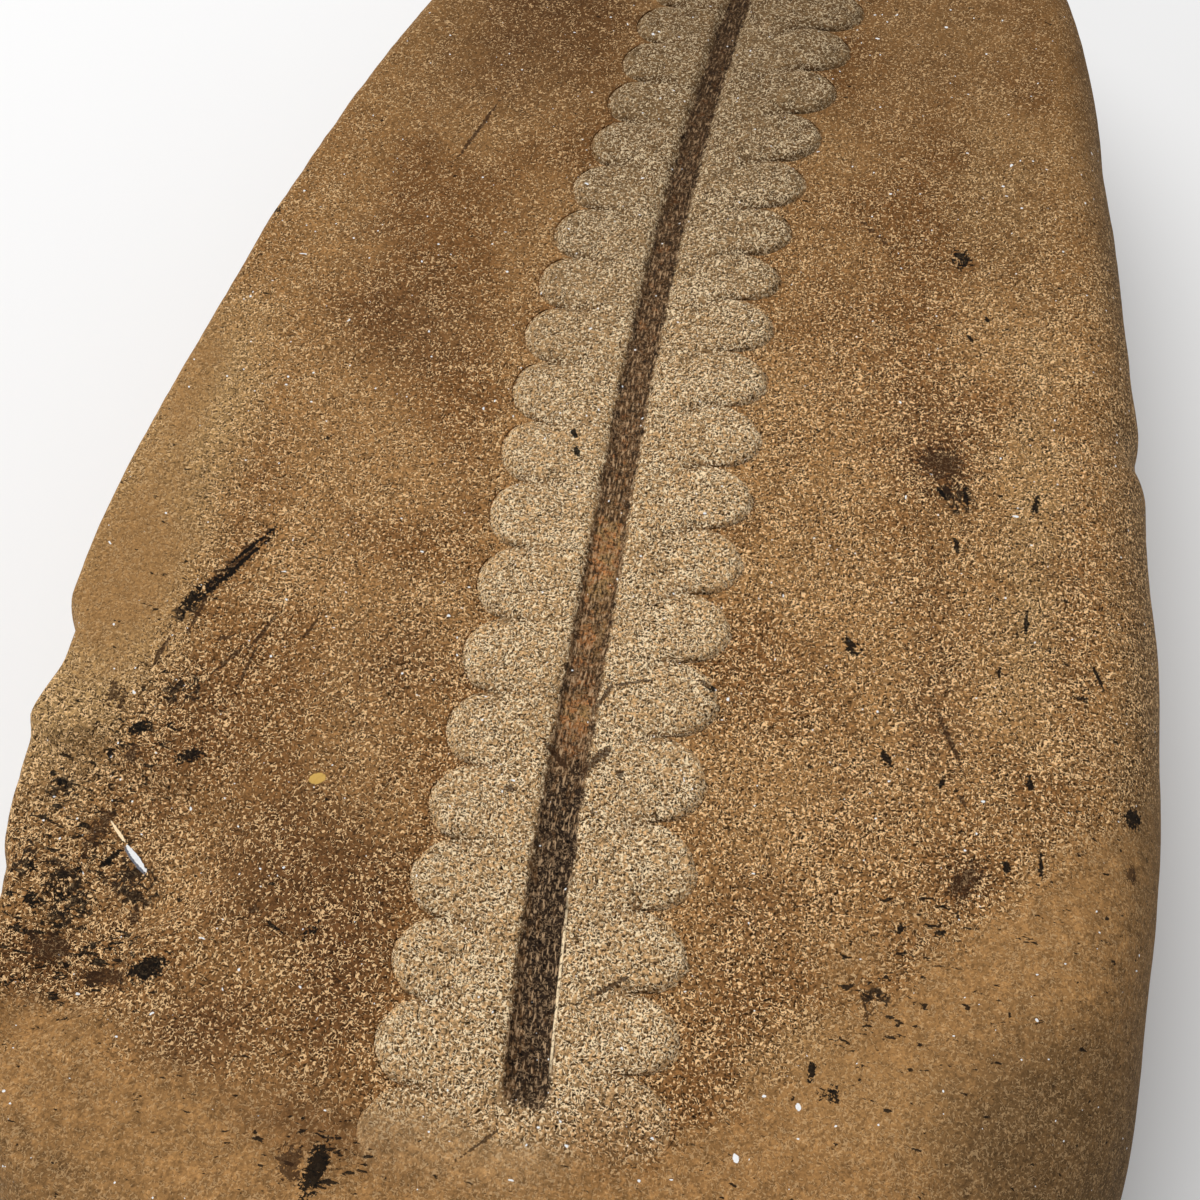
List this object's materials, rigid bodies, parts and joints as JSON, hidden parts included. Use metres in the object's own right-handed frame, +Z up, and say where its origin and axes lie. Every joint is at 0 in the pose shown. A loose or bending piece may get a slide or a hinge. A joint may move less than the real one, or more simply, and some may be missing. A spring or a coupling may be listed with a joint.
{
  "type": "fossil fern plate",
  "caption": "Half of a worn stone nodule, split to show a fern frond: a midrib groove between rows of raised round lobes on a flat face, with rounded flanks and a flat base.",
  "frame": {"origin": "middle of the flat underside", "axes": "+Y along the frond towards its far end, +X to its right, +Z up out of the split face"},
  "size_m": [0.089, 0.1694, 0.0338],
  "materials": {
    "stone": "matte, finely sandy, warm brown, with a paler beige frond, a dark brown midrib and black specks"
  },
  "bodies": {
    "root": {"fossil_slab": "stone"}
  },
  "joints": []
}
